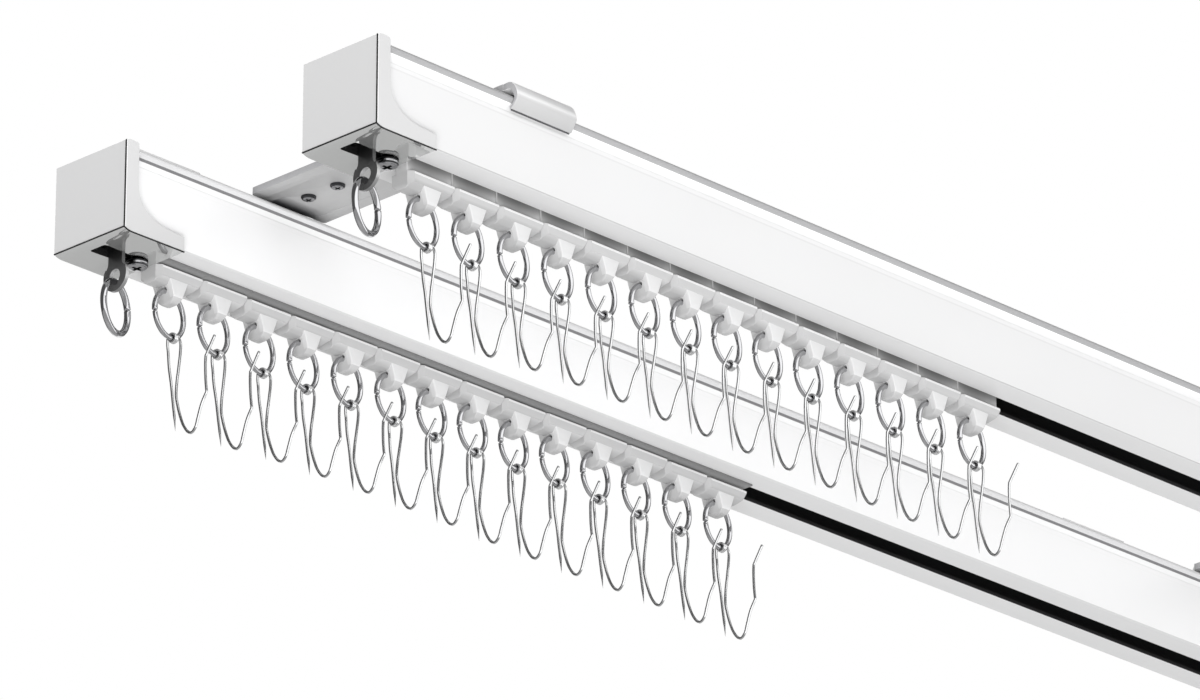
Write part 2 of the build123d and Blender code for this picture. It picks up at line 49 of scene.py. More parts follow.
class Shader:
    """A material's node tree, with its Principled shader."""

    def __init__(self, name, **constants):
        self.mat = bpy.data.materials.new(name)
        self.mat.use_nodes = True
        self.tree = self.mat.node_tree
        self.nodes = self.tree.nodes
        self.bsdf = next(n for n in self.nodes if n.type == "BSDF_PRINCIPLED")
        self.coord = self.nodes.new("ShaderNodeTexCoord").outputs["Object"]
        for k, v in constants.items():
            self.bsdf.inputs[k.replace("_", " ")].default_value = v

    def link(self, a, b):
        self.tree.links.new(a, b)

    def scaled(self, sx, sy, sz):
        m = self.nodes.new("ShaderNodeMapping")
        m.inputs["Scale"].default_value = (sx, sy, sz)
        self.link(self.coord, m.inputs["Vector"])
        return m.outputs["Vector"]

    def noise(self, scale, detail=4.0, rough=0.5, vector=None):
        n = self.nodes.new("ShaderNodeTexNoise")
        n.inputs["Scale"].default_value = scale
        n.inputs["Detail"].default_value = detail
        n.inputs["Roughness"].default_value = rough
        self.link(vector or self.coord, n.inputs["Vector"])
        return n.outputs["Fac"]

    def ramp(self, fac, stops):
        r = self.nodes.new("ShaderNodeValToRGB")
        r.color_ramp.elements[0].position, r.color_ramp.elements[0].color = stops[0][0], (*stops[0][1], 1)
        r.color_ramp.elements[1].position, r.color_ramp.elements[1].color = stops[-1][0], (*stops[-1][1], 1)
        for pos, col in stops[1:-1]:
            e = r.color_ramp.elements.new(pos)
            e.color = (*col, 1)
        self.link(fac, r.inputs["Fac"])
        return r.outputs["Color"]

    def map(self, value, a, b, c, d):
        m = self.nodes.new("ShaderNodeMapRange")
        m.inputs["From Min"].default_value, m.inputs["From Max"].default_value = a, b
        m.inputs["To Min"].default_value, m.inputs["To Max"].default_value = c, d
        self.link(value, m.inputs["Value"])
        return m.outputs["Result"]

    def math(self, op, a, b=None, c=None):
        m = self.nodes.new("ShaderNodeMath")
        m.operation = op
        for i, v in enumerate((a, b, c)):
            if v is None:
                continue
            if isinstance(v, (int, float)):
                m.inputs[i].default_value = v
            else:
                self.link(v, m.inputs[i])
        return m.outputs[0]

    def mix(self, fac, a, b):
        m = self.nodes.new("ShaderNodeMix")
        m.data_type = "RGBA"
        if isinstance(fac, (int, float)):
            m.inputs["Factor"].default_value = fac
        else:
            self.link(fac, m.inputs["Factor"])
        for name, v in (("A", a), ("B", b)):
            sock = next(s for s in m.inputs if s.name == name and s.type == "RGBA")
            if isinstance(v, tuple):
                sock.default_value = (*v, 1)
            else:
                self.link(v, sock)
        return next(s for s in m.outputs if s.type == "RGBA")

    def xyz(self):
        s = self.nodes.new("ShaderNodeSeparateXYZ")
        self.link(self.coord, s.inputs[0])
        return s.outputs

    def height(self, raised=0.0):
        """Height in drawing millimetres, less what the piece is raised by."""
        z = self.xyz()[2]
        return self.math("ADD", self.math("MULTIPLY", z, 1000.0), HOLE_Z - raised)

    def tones(self, value, stops, cloud=0.012):
        """Grey tones at values (in order), with a faint cloudiness."""
        lo, hi = stops[0][0], stops[-1][0]
        r = self.ramp(self.map(value, lo, hi, 0.0, 1.0), [((v - lo) / (hi - lo), (t, t, t * 1.004)) for v, t in stops])
        c = self.ramp(self.noise(30.0, 3.0), [(0.3, (1 - cloud, 1 - cloud, 1 - cloud)), (0.7, (1.0, 1.0, 1.0))])
        m = self.nodes.new("ShaderNodeMix")
        m.data_type, m.blend_type = "RGBA", "MULTIPLY"
        m.inputs["Factor"].default_value = 1.0
        a = next(k for k in m.inputs if k.name == "A" and k.type == "RGBA")
        b = next(k for k in m.inputs if k.name == "B" and k.type == "RGBA")
        self.link(r, a)
        self.link(c, b)
        return next(k for k in m.outputs if k.type == "RGBA")

    def color(self, out):
        self.link(out, self.bsdf.inputs["Base Color"])

    def rough(self, out):
        self.link(out, self.bsdf.inputs["Roughness"])

    def bump(self, height, strength, distance=0.0002):
        b = self.nodes.new("ShaderNodeBump")
        b.inputs["Strength"].default_value = strength
        b.inputs["Distance"].default_value = distance
        self.link(height, b.inputs["Height"])
        self.link(b.outputs["Normal"], self.bsdf.inputs["Normal"])


def paint(name, light, dark, rough=0.38, grain=900.0, strength=0.06):
    """Powder coat: fine orange peel, faint cloudiness, a slight sheen."""
    s = Shader(name, Roughness=rough, Specular_IOR_Level=0.45)
    cloud = s.noise(14.0, 3.0)
    fine = s.noise(grain, 2.0)
    s.color(s.ramp(cloud, [(0.3, dark), (0.7, light)]))
    s.rough(s.map(s.noise(60.0, 5.0), 0.3, 0.7, rough - 0.05, rough + 0.08))
    s.bump(fine, strength)
    return s


def toned(name, value_of, stops, rough=0.4, spec=0.4, grain=900.0, strength=0.05, cloud=0.012, **more):
    """A painted or moulded surface whose tone changes along value_of(shader)."""
    s = Shader(name, Roughness=rough, Specular_IOR_Level=spec, **more)
    s.color(s.tones(value_of(s), stops, cloud))
    s.rough(s.map(s.noise(60.0, 5.0), 0.3, 0.7, max(0.02, rough - 0.05), rough + 0.06))
    s.bump(s.noise(grain, 2.0), strength)
    return s


# rails: white paint; the faces carry the extrusion's faint long steps as painted light and dark bands, and the tones by
# height are painted shade: darker towards the bottom, with a dark painted shade line along the bottom rounding
M_RAIL = toned("rail paint", lambda s: s.height(), [(-28.6, 0.40), (-28.22, 0.42), (-28.05, 0.725), (-24.0, 0.742), (-12.0, 0.783), (-8.3, 0.796),
                                                   (-8.0, 0.742), (-7.8, 0.742), (-7.5, 0.833), (-4.4, 0.846), (-3.9, 0.82), (0.0, 0.85)])
# the rear rail: a brighter copy of the same paint, painted light that makes up for the front rail's shade, with painted
# shade lines under the bead and along the bottom rounding
M_REAR = toned("rear rail paint", lambda s: s.height(), [(-28.6, 0.49), (-28.3, 0.52), (-28.0, 0.85), (-8.3, 0.855), (-8.0, 0.84), (-7.5, 0.86),
                                                        (-4.2, 0.86), (-4.05, 0.5), (-3.72, 0.25), (0.0, 0.86)])
# the rails' underside: a darker, shaded copy of the rail paint (painted shade), faintly darker towards the right
M_UNDER_RAIL = toned("rail underside", lambda s: s.xyz()[0], [(-0.3, 0.645), (0.3, 0.635)])
# the channel's inside and the rails' cut ends: near black, painted shade
M_INNER = paint("rail channel", (0.012, 0.012, 0.013), (0.006, 0.006, 0.006), 0.7)
# the bead in copies of the white paint: grey on its underside and white on top as painted shade and painted highlight,
# the rear bead a lighter grey; the rear groove under the bead is painted shade
M_LIP = paint("rail bead", (0.38, 0.38, 0.385), (0.365, 0.365, 0.37), 0.45)
M_LIP_REAR = paint("rear rail bead", (0.63, 0.63, 0.635), (0.61, 0.61, 0.615), 0.45)
M_LIP_SHADE = paint("rear rail groove painted shade", (0.20, 0.20, 0.205), (0.17, 0.17, 0.175), 0.6)
M_BEAD_TOP = paint("rail bead top", (0.96, 0.96, 0.965), (0.94, 0.94, 0.945), 0.35)

# brackets: powder coated sheet; the tones by height are painted light and shade, darker towards the bottom of the curl,
# and the underside is a darker, shaded copy
M_BRACKET = toned("bracket paint", lambda s: s.height(), [(-6.0, 0.47), (-2.2, 0.52), (-1.6, 0.62), (-0.9, 0.85), (-0.2, 0.83), (0.4, 0.71), (2.2, 0.76), (3.4, 0.93), (6.0, 0.93)],
                  0.36, 0.4, 700.0, 0.08)
M_ARM_UNDER = Shader("bracket underside", Roughness=0.42, Specular_IOR_Level=0.35)
y_mm = M_ARM_UNDER.math("ADD", M_ARM_UNDER.math("MULTIPLY", M_ARM_UNDER.xyz()[1], 1000.0), WALL_Y)
x_mm = M_ARM_UNDER.math("MULTIPLY", M_ARM_UNDER.xyz()[0], 1000.0)
x_mm = M_ARM_UNDER.math("SUBTRACT", x_mm, M_ARM_UNDER.math("MULTIPLY", M_ARM_UNDER.math("SIGN", x_mm), 226.5))
# painted shadow on the underside by the rear rail's bead, near black there and fading away from it; the rest a shaded
# grey copy of the bracket paint
shade = M_ARM_UNDER.math("MULTIPLY", M_ARM_UNDER.map(y_mm, 93.0, 98.0, 0.0, 1.0),
                         M_ARM_UNDER.math("MULTIPLY", M_ARM_UNDER.map(x_mm, 7.0, 15.0, 1.0, 0.0), M_ARM_UNDER.map(x_mm, -7.9, -7.1, 0.0, 1.0)))
M_ARM_UNDER.color(M_ARM_UNDER.mix(shade, M_ARM_UNDER.tones(y_mm, [(-15.0, 0.44), (60.0, 0.42), (100.0, 0.40)]), (0.085, 0.085, 0.09)))
M_ARM_UNDER.bump(M_ARM_UNDER.noise(700.0, 2.0), 0.08)
# the arms' left-facing end faces: a darker grey, painted shade
M_ARM_EDGE = paint("bracket end painted shade", (0.43, 0.43, 0.44), (0.40, 0.40, 0.41), 0.5)
M_GAP = paint("shadow gap", (0.09, 0.09, 0.095), (0.05, 0.05, 0.055), 0.6)

# caps: smooth moulded plastic with a polished underside
M_CAP = toned("cap plastic", lambda s: s.height(), [(-30.0, 0.665), (-15.0, 0.68), (1.0, 0.69)], 0.34, 0.4, 500.0, 0.02, 0.006)
# cap sides: a darker, shaded copy of the cap plastic, with a painted highlight strip along the edge by the end face
M_CAP_SIDE = toned("cap side", lambda s: s.math("ABSOLUTE", s.xyz()[0]), [(0.2700, 0.615), (0.2940, 0.625), (0.29925, 0.63), (0.2994, 0.92), (0.3, 0.95)],
                   0.34, 0.4, 500.0, 0.02, 0.006)
M_CAP_UNDER = Shader("cap polished underside", Roughness=0.03, Metallic=0.8)
M_CAP_UNDER.color(M_CAP_UNDER.ramp(M_CAP_UNDER.noise(26.0, 2.0), [(0.3, (0.61, 0.615, 0.61)), (0.7, (0.63, 0.635, 0.63))]))
M_CAP_UNDER.bump(M_CAP_UNDER.noise(240.0, 2.0), 0.003)
M_CAP_LINE = paint("cap shadow gap", (0.012, 0.012, 0.013), (0.006, 0.006, 0.006), 0.6)
# the walls of the slot in the cap's floor: near black, painted shade
M_CAP_DARK = paint("cap slot", (0.010, 0.010, 0.011), (0.004, 0.004, 0.004), 0.7)


def runner_materials(row, first, pitch, raised):
    """Milky nylon as lit and shaded copies, painted light and shade by side and height: face, edge (painted highlight),
    base (painted shade underneath), tongue end, neck (painted shade), tongue bevel, base end (painted shade), and the
    dark sheet (painted shadow).
    """
    tag = f"{row} runner"
    nylon = dict(grain=420.0, strength=0.04)
    face = toned(f"{tag} tongue face", lambda s: s.height(raised), [(-42.2, 0.60), (-40.4, 0.66), (-38.0, 0.685), (-33.0, 0.70)], 0.34, **nylon)
    edge = toned(f"{tag} flange edge", lambda s: s.height(raised), [(-34.0, 0.82), (-31.3, 0.86)], 0.3, **nylon)
    base = toned(f"{tag} base", lambda s: s.height(raised), [(-36.8, 0.39), (-35.9, 0.41), (-35.0, 0.50), (-34.3, 0.575), (-32.2, 0.60), (-31.3, 0.62)],
                 0.36, 0.35, **nylon)
    end = toned(f"{tag} tongue end", lambda s: s.height(raised), [(-42.4, 0.36), (-41.6, 0.48), (-39.5, 0.53), (-36.0, 0.57), (-33.0, 0.45)], 0.36, 0.35, **nylon)
    bevel = toned(f"{tag} tongue bevel", lambda s: s.height(raised), [(-41.6, 0.50), (-40.0, 0.60), (-34.0, 0.66)], 0.36, 0.35, **nylon)
    side = toned(f"{tag} base end", lambda s: s.height(raised), [(-36.8, 0.46), (-34.0, 0.51), (-31.3, 0.54), (-27.0, 0.48)], 0.4, 0.3, **nylon)
    # neck: painted shade in the slot, darker towards each runner's left and lighter towards its right, and darker
    # upward into the slot
    neck = Shader(f"{tag} neck", Roughness=0.4, Specular_IOR_Level=0.3)
    u = neck.math("FRACT", neck.math("DIVIDE", neck.math("ADD", neck.math("MULTIPLY", neck.xyz()[0], 1000.0), LENGTH / 2 - first + pitch / 2), pitch))
    along = neck.ramp(u, [(0.0, (0.50, 0.50, 0.50)), (0.17, (0.37, 0.37, 0.37)), (0.33, (0.34, 0.34, 0.34)), (0.5, (0.35, 0.35, 0.35)), (0.67, (0.42, 0.42, 0.42)), (0.83, (0.52, 0.52, 0.52)), (0.95, (0.66, 0.66, 0.66))])
    down = neck.map(neck.height(0.0), -31.4, -27.6, 1.0, 0.38)
    m = neck.nodes.new("ShaderNodeVectorMath")
    m.operation = "SCALE"
    neck.link(along, m.inputs[0])
    neck.link(down, m.inputs["Scale"])
    neck.color(m.outputs["Vector"])
    neck.bump(neck.noise(420.0, 3.0), 0.05)
    # colour of the dark sheet beside the neck: painted shadow of the runners on the rail's underside
    neck_shadow = toned(f"{tag} glide pad", lambda s: s.math("ADD", s.math("MULTIPLY", s.xyz()[1], 1000.0), WALL_Y - GAP), [(-7.0, 0.17), (-6.2, 0.20), (-4.4, 0.27), (7.0, 0.27)], 0.5, 0.2, **nylon)
    return [face, edge, base, end, neck, bevel, side, neck_shadow]


def metal(name, light, dark, rough, scale=400.0, strength=0.03, spread=0.06):
    s = Shader(name, Metallic=1.0, Roughness=rough)
    s.color(s.ramp(s.noise(scale / 4, 4.0), [(0.3, dark), (0.7, light)]))
    s.rough(s.map(s.noise(scale, 4.0), 0.3, 0.7, max(0.02, rough - spread), rough + spread))
    s.bump(s.noise(scale * 2, 3.0), strength)
    return s


M_CHROME = metal("ring chrome", (0.46, 0.46, 0.47), (0.41, 0.41, 0.42), 0.07, 400.0, 0.02, 0.02)
M_SCREW = metal("screw chrome", (0.42, 0.42, 0.43), (0.35, 0.35, 0.36), 0.16)
M_RECESS_AND_SHADE = metal("screw recess and painted shade", (0.06, 0.06, 0.065), (0.03, 0.03, 0.03), 0.4)
M_DARK_SCREW = metal("dark screw", (0.09, 0.09, 0.095), (0.05, 0.05, 0.055), 0.35)
# stop plate: its faces darker towards the top; the edge carries a painted highlight band across the eye's middle height
M_STOP = toned("stop steel", lambda s: s.height(), [(-42.8, 0.085), (-36.0, 0.075), (-34.0, 0.05), (-32.0, 0.02), (-29.0, 0.008)], 0.3, 0.5, 300.0, 0.06, 0.25)
M_STOP_EDGE = toned("stop steel edge", lambda s: s.height(), [(-42.8, 0.12), (-39.8, 0.25), (-38.6, 0.52), (-35.9, 0.52), (-35.0, 0.2), (-33.2, 0.11), (-29.0, 0.05)], 0.25, 0.5,
                    300.0, 0.04, 0.1)
M_SPRING = metal("spring steel", (0.07, 0.07, 0.075), (0.035, 0.035, 0.04), 0.4, 250.0, 0.08)
M_HOOK = metal("hook wire", (0.58, 0.582, 0.585), (0.50, 0.502, 0.505), 0.10, 700.0, 0.03, 0.03)
M_COIL = metal("hook coil", (0.80, 0.802, 0.805), (0.66, 0.662, 0.665), 0.34, 700.0, 0.03, 0.05)
M_JOINT_SCREW = metal("joint screw", (0.36, 0.36, 0.37), (0.16, 0.16, 0.17), 0.15, 1600.0, 0.25)


# -------------------------------------------------------------------- meshes


def new_object(name, bm, mats, angle=32.0, flat=150.0):
    """A finished piece from a bmesh in drawing millimetres; faces larger than flat (mm2) are shaded flat."""
    bm.transform(TO_ROW)
    bmesh.ops.recalc_face_normals(bm, faces=bm.faces[:])
    mesh = bpy.data.meshes.new(name)
    bm.to_mesh(mesh)
    bm.free()
    mesh.validate()   # drops the doubled faces that a bevel can leave in a tight inner corner
    for m in mats:
        mesh.materials.append(m.mat)
    for p in mesh.polygons:
        p.use_smooth = p.area * 1e6 < flat
    mesh.set_sharp_from_angle(angle=math.radians(angle))
    obj = bpy.data.objects.new(name, mesh)
    bpy.context.scene.collection.objects.link(obj)
    return obj


def baked(obj):
    """Applies the modifiers into the mesh."""
    bpy.context.view_layer.update()
    dg = bpy.context.evaluated_depsgraph_get()
    mesh = bpy.data.meshes.new_from_object(obj.evaluated_get(dg))
    mesh.name = obj.name
    obj.modifiers.clear()
    obj.data = mesh
    return obj


def bm_object(bm, name="part"):
    mesh = bpy.data.meshes.new(name)
    bmesh.ops.recalc_face_normals(bm, faces=bm.faces[:])
    bm.to_mesh(mesh)
    bm.free()
    obj = bpy.data.objects.new(name, mesh)
    bpy.context.scene.collection.objects.link(obj)
    return obj


def carve(bm, cutters, bevel=0.0, segments=2, angle=35.0):
    """Cuts the cutters out of bm, then rounds the sharp edges. Returns a bmesh."""
    obj = bm_object(bm)
    others = []
    for c in cutters:
        o = bm_object(c, "cutter")
        others.append(o)
        m = obj.modifiers.new("cut", "BOOLEAN")
        m.operation, m.solver, m.object = "DIFFERENCE", "EXACT", o
    if bevel:
        b = obj.modifiers.new("round", "BEVEL")
        b.width, b.segments, b.limit_method, b.angle_limit = bevel, segments, "ANGLE", math.radians(angle)
        b.harden_normals = False
        b.use_clamp_overlap = True
    baked(obj)
    out = bmesh.new()
    out.from_mesh(obj.data)
    for o in [obj, *others]:
        mesh = o.data
        bpy.data.objects.remove(o, do_unlink=True)
        bpy.data.meshes.remove(mesh)
    return out


def prism(outline, a0, a1, axis="X", slot=0):
    """Closed outline pushed along an axis. X: points are (Y, Z); Y: (X, Z); Z: (X, Y)."""
    bm = bmesh.new()

    def at(p, a):
        u, v = p
        return {"X": (a, u, v), "Y": (u, a, v), "Z": (u, v, a)}[axis]

    lo = [bm.verts.new(at(p, a0)) for p in outline]
    hi = [bm.verts.new(at(p, a1)) for p in outline]
    n = len(outline)
    bm.faces.new(lo)
    bm.faces.new(hi)
    for i in range(n):
        bm.faces.new((lo[i], lo[(i + 1) % n], hi[(i + 1) % n], hi[i]))
    for f in bm.faces:
        f.material_index = slot
    bmesh.ops.recalc_face_normals(bm, faces=bm.faces[:])
    return bm


def block(x0, x1, y0, y1, z0, z1):
    return prism([(y0, z0), (y1, z0), (y1, z1), (y0, z1)], x0, x1)


def rod(r, centre, axis, half, n=40):
    """Round bar about centre, along the axis vector, half its length each way."""
    bm = bmesh.new()
    bmesh.ops.create_cone(bm, cap_ends=True, segments=n, radius1=r, radius2=r, depth=2 * half)
    turn = Vector((0, 0, 1)).rotation_difference(Vector(axis)).to_matrix().to_4x4()
    bm.transform(Matrix.Translation(centre) @ turn)
    return bm


def join(*bms):
    """Adds the later bmeshes to the first."""
    out = bms[0]
    for b in bms[1:]:
        mesh = bpy.data.meshes.new("join")
        b.to_mesh(mesh)
        b.free()
        out.from_mesh(mesh)
        bpy.data.meshes.remove(mesh)
    return out


def arc(cx, cy, r, a0, a1, n=8):
    """Points of an arc, angles in degrees."""
    return [(cx + r * math.cos(math.radians(a0 + (a1 - a0) * i / n)), cy + r * math.sin(math.radians(a0 + (a1 - a0) * i / n)))
            for i in range(n + 1)]


def rounded(points, radius, n=5):
    """Closed outline with its corners rounded; radius is a number or one per corner."""
    out = []
    m = len(points)
    for i in range(m):
        r = radius if isinstance(radius, (int, float)) else radius[i]
        p = Vector(points[i])
        a = (Vector(points[i - 1]) - p)
        b = (Vector(points[(i + 1) % m]) - p)
        if r <= 0 or a.length < 1e-6 or b.length < 1e-6:
            out.append(tuple(p))
            continue
        la, lb = a.length, b.length
        a.normalize()
        b.normalize()
        half = math.acos(max(-1, min(1, a.dot(b)))) / 2
        if half > math.radians(89.5):
            out.append(tuple(p))
            continue
        d = min(r / math.tan(half), la * 0.49, lb * 0.49)
        rr = d * math.tan(half)
        c = p + (a + b).normalized() * (rr / math.sin(half))
        s, e = p + a * d - c, p + b * d - c
        for k in range(n + 1):
            t = k / n
            v = s.slerp(e, t) if s.length > 1e-9 else s
            out.append(tuple(c + v))
    return out


def smooth_path(points, per=8, sharp=()):
    """Catmull-Rom through 3-D points; indices in sharp keep their corner."""
    pts = [Vector(p) for p in points]
    out = []
    for i in range(len(pts) - 1):
        p1, p2 = pts[i], pts[i + 1]
        p0 = pts[i - 1] if i > 0 and i not in sharp else p1 * 2 - p2
        p3 = pts[i + 2] if i + 2 < len(pts) and (i + 1) not in sharp else p2 * 2 - p1
        t0 = 0.0
        t1 = t0 + max((p1 - p0).length ** 0.5, 1e-4)
        t2 = t1 + max((p2 - p1).length ** 0.5, 1e-4)
        t3 = t2 + max((p3 - p2).length ** 0.5, 1e-4)
        for k in range(per):
            t = t1 + (t2 - t1) * k / per
            a1 = p0 * ((t1 - t) / (t1 - t0)) + p1 * ((t - t0) / (t1 - t0))
            a2 = p1 * ((t2 - t) / (t2 - t1)) + p2 * ((t - t1) / (t2 - t1))
            a3 = p2 * ((t3 - t) / (t3 - t2)) + p3 * ((t - t2) / (t3 - t2))
            b1 = a1 * ((t2 - t) / (t2 - t0)) + a2 * ((t - t0) / (t2 - t0))
            b2 = a2 * ((t3 - t) / (t3 - t1)) + a3 * ((t - t1) / (t3 - t1))
            out.append(b1 * ((t2 - t) / (t2 - t1)) + b2 * ((t - t1) / (t2 - t1)))
    out.append(pts[-1])
    return out


def tube(path, radius, seg=10, slot=0):
    """Round wire along a path; radius is a number or a function of the share along it."""
    bm = bmesh.new()
    pts = [Vector(p) for p in path]
    n = len(pts)
    tangents = [((pts[min(i + 1, n - 1)] - pts[max(i - 1, 0)]).normalized()) for i in range(n)]
    lengths = [0.0]
    for i in range(1, n):
        lengths.append(lengths[-1] + (pts[i] - pts[i - 1]).length)
    ref = Vector((0, 0, 1)) if abs(tangents[0].z) < 0.9 else Vector((1, 0, 0))
    normal = (ref - tangents[0] * ref.dot(tangents[0])).normalized()
    loops = []
    for i in range(n):
        if i:
            q = tangents[i - 1].rotation_difference(tangents[i])
            normal = q @ normal
            normal = (normal - tangents[i] * normal.dot(tangents[i])).normalized()
        side = tangents[i].cross(normal)
        r = radius(lengths[i] / lengths[-1]) if callable(radius) else radius
        loops.append([bm.verts.new(pts[i] + (normal * math.cos(2 * math.pi * k / seg) + side * math.sin(2 * math.pi * k / seg)) * r)
                      for k in range(seg)])
    for a, b in zip(loops, loops[1:]):
        for k in range(seg):
            bm.faces.new((a[k], a[(k + 1) % seg], b[(k + 1) % seg], b[k]))
    # domed ends
    for loop, i, way in ((loops[0], 0, -1), (loops[-1], n - 1, 1)):
        r = radius(lengths[i] / lengths[-1]) if callable(radius) else radius
        inner = [bm.verts.new(pts[i] + (v.co - pts[i]) * 0.6 + tangents[i] * way * r * 0.35) for v in loop]
        tip = bm.verts.new(pts[i] + tangents[i] * way * r * 0.5)
        for k in range(seg):
            bm.faces.new((loop[k], loop[(k + 1) % seg], inner[(k + 1) % seg], inner[k]))
            bm.faces.new((inner[k], inner[(k + 1) % seg], tip))
    for f in bm.faces:
        f.material_index = slot
    bmesh.ops.recalc_face_normals(bm, faces=bm.faces[:])
    return bm


def loft(sections, slot=0):
    """Closed skin through rounded rectangles: (z, half x, half y, corner radius, centre x, centre y)."""
    bm = bmesh.new()
    loops = []
    for z, hx, hy, r, cx, cy in sections:
        r = min(r, hx * 0.999, hy * 0.999)
        pts = []
        for sx, sy, a in ((1, 1, 0), (-1, 1, 90), (-1, -1, 180), (1, -1, 270)):
            pts += arc(cx + sx * (hx - r), cy + sy * (hy - r), r, a, a + 90, 5)
        loops.append([bm.verts.new((x, y, z)) for x, y in pts])
    n = len(loops[0])
    for a, b in zip(loops, loops[1:]):
        for k in range(n):
            bm.faces.new((a[k], a[(k + 1) % n], b[(k + 1) % n], b[k]))
    bm.faces.new(loops[0])
    bm.faces.new(loops[-1])
    for f in bm.faces:
        f.material_index = slot
    bmesh.ops.recalc_face_normals(bm, faces=bm.faces[:])
    return bm


def lathe(profile, centre, n=48, slot=0):
    """(radius, z) profile turned about the vertical through centre; open ends at radius 0."""
    bm = bmesh.new()
    rings = []
    for r, z in profile:
        if r < 1e-6:
            rings.append([bm.verts.new((centre[0], centre[1], z))])
        else:
            rings.append([bm.verts.new((centre[0] + r * math.cos(2 * math.pi * k / n), centre[1] + r * math.sin(2 * math.pi * k / n), z))
                          for k in range(n)])
    for a, b in zip(rings, rings[1:]):
        for k in range(n):
            k2 = (k + 1) % n
            if len(a) == 1 and len(b) > 1:
                bm.faces.new((a[0], b[k], b[k2]))
            elif len(b) == 1 and len(a) > 1:
                bm.faces.new((a[k], a[k2], b[0]))
            elif len(a) > 1:
                bm.faces.new((a[k], a[k2], b[k2], b[k]))
    for f in bm.faces:
        f.material_index = slot
    bmesh.ops.recalc_face_normals(bm, faces=bm.faces[:])
    return bm


def moved(bm, x=0.0, y=0.0, z=0.0, flip=False):
    """A copy, mirrored to the track's right end when flip is set."""
    out = bm.copy()
    out.transform(Matrix.Translation((x, y, z)))
    if flip:
        out.transform(Matrix.Translation((LENGTH, 0, 0)) @ Matrix.Scale(-1, 4, (1, 0, 0)))
        bmesh.ops.reverse_faces(out, faces=out.faces[:])
    return out


def put(name, bm, mats, body, node, angle=32.0, flat=150.0):
    obj = new_object(name, bm, mats, angle, flat)
    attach(obj, body)
    if node:
        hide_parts(node)
    return obj


# --------------------------------------------------------------------- rails


def rail_half():
    """Right half of the section from the top middle to the slot and back up."""
    b, h, u = 15.8, 13.95, 13.78
    pts = [(0, -5.3), (12.1, -5.3), (12.1, -2.45), (9.0, -2.45), (9.0, -1.3)]
    pts += arc(b - 1.25, -2.55, 1.25, 90, -12, 12)
    pts += [(b - 0.35, -3.0), (14.5, -3.48), (u + 0.22, -3.72), (u + 0.05, -3.9), (u, -4.1), (u, -6.1), (h - 0.03, -6.35), (h, -6.5)]
    pts += arc(h - 0.5, -28.48 + 0.5, 0.5, 0, -90, 5)
    pts += arc(4.41 + 0.25, -28.48 + 0.25, 0.25, -90, -180, 4)
    outer = len(pts)
    pts += [(4.41, -27.18), (12.65, -27.18), (12.65, -17.7), (0, -17.7)]
    return pts, outer


def rail_bm(y):
    half, outer = rail_half()
    right = [(p[0] + y, p[1]) for p in half]
    left = [(-p[0] + y, p[1]) for p in reversed(half) if abs(p[0]) > 1e-9]
    # the outline starts and ends in the section's middle, so the halves join into one ring
    bm = prism(right + left, 5.6, LENGTH - 5.6)
    for f in bm.faces:
        c = f.calc_center_median()
        n = f.normal
        dy = abs(c.y - y)
        if abs(n.x) > 0.9:
            f.material_index = 1
        elif n.z < -0.8 and c.z < -28.0:
            f.material_index = 4
        elif c.z < -6.5 and dy < 13.0:
            f.material_index = 1
        # slot 5, the faces under the bead: a painted highlight band on the front rail, painted shade on the rear rail
        elif 13.7 < dy < 14.5 and -8.0 < c.z < -3.4 and n.z < -0.2:
            f.material_index = 5
        elif dy > 13.7 and c.z > -3.8:
            f.material_index = 2 if n.z < 0.60 else 3
        else:
            f.material_index = 0
    return bm


put("rail_front_v", rail_bm(0.0), [M_RAIL, M_INNER, M_LIP, M_BEAD_TOP, M_UNDER_RAIL, M_BEAD_TOP], "track", "rail_front", 24, 1500.0)
put("rail_rear_v", rail_bm(GAP), [M_REAR, M_INNER, M_LIP_REAR, M_BEAD_TOP, M_UNDER_RAIL, M_LIP_SHADE], "track", "rail_rear", 24, 1500.0)


# ---------------------------------------------------------------------- caps


def cap_bm():
    top, bot = 0.0, -29.9
    # side view (X, Z), round the front top edge, the swept cheek and the lower front edge
    out = [(0.0, 0.0), (0.7, 0.35), (1.4, 0.6), (2.2, 0.73), (3.5, 0.72), (4.8, 0.62), (5.3, 0.4), (5.47, -0.2), (5.48, -1.2),
           (5.5, -8.0), (5.55, -13.2), (5.75, -15.2), (6.25, -17.2), (7.2, -19.1), (8.6, -20.7), (10.4, -22.1), (12.4, -23.2),
           (14.6, -23.95), (17.0, -24.4), (20.0, -24.65), (25.0, -24.85), (25.0, bot)]
    out += [(3.9, bot), (2.6, bot + 0.04), (1.5, bot + 0.22), (0.6, bot + 0.55), (0.0, bot + 1.0)]
    bm = prism(out, -15.85, 15.85, "Y")
    cuts = [block(5.5, 40, -14.15, 14.15, -28.58, 12), block(1.8, 6.0, -14.0, 14.0, -28.5, -1.2)]
    slot_out = [(4.5, -2.4), (14.6, -2.4), (15.4, -2.6)] + arc(19.0, 0, 4.2, 228, 484, 24) + [(15.6, 3.9), (4.5, 3.9)]
    cuts.append(prism(rounded(slot_out, [0.6, 0, 0] + [0] * 25 + [0, 0.6], 4), -32.0, -27.5, "Z"))
    bm = carve(bm, cuts, 0.16, 2, 38)
    for f in bm.faces:
        c, n = f.calc_center_median(), f.normal
        if n.z < -0.3 and c.z < -29.0 and abs(n.y) < 0.5:
            f.material_index = 1
        elif abs(n.y) > 0.8 and abs(c.y) > 15.6:
            f.material_index = 4
        # the slot's walls get the painted shade
        elif c.z < -28.3 and abs(c.y) < 4.7 and 4.3 < c.x < 24.6 and abs(n.z) < 0.7 and c.z > -29.86:
            f.material_index = 3
    return bm


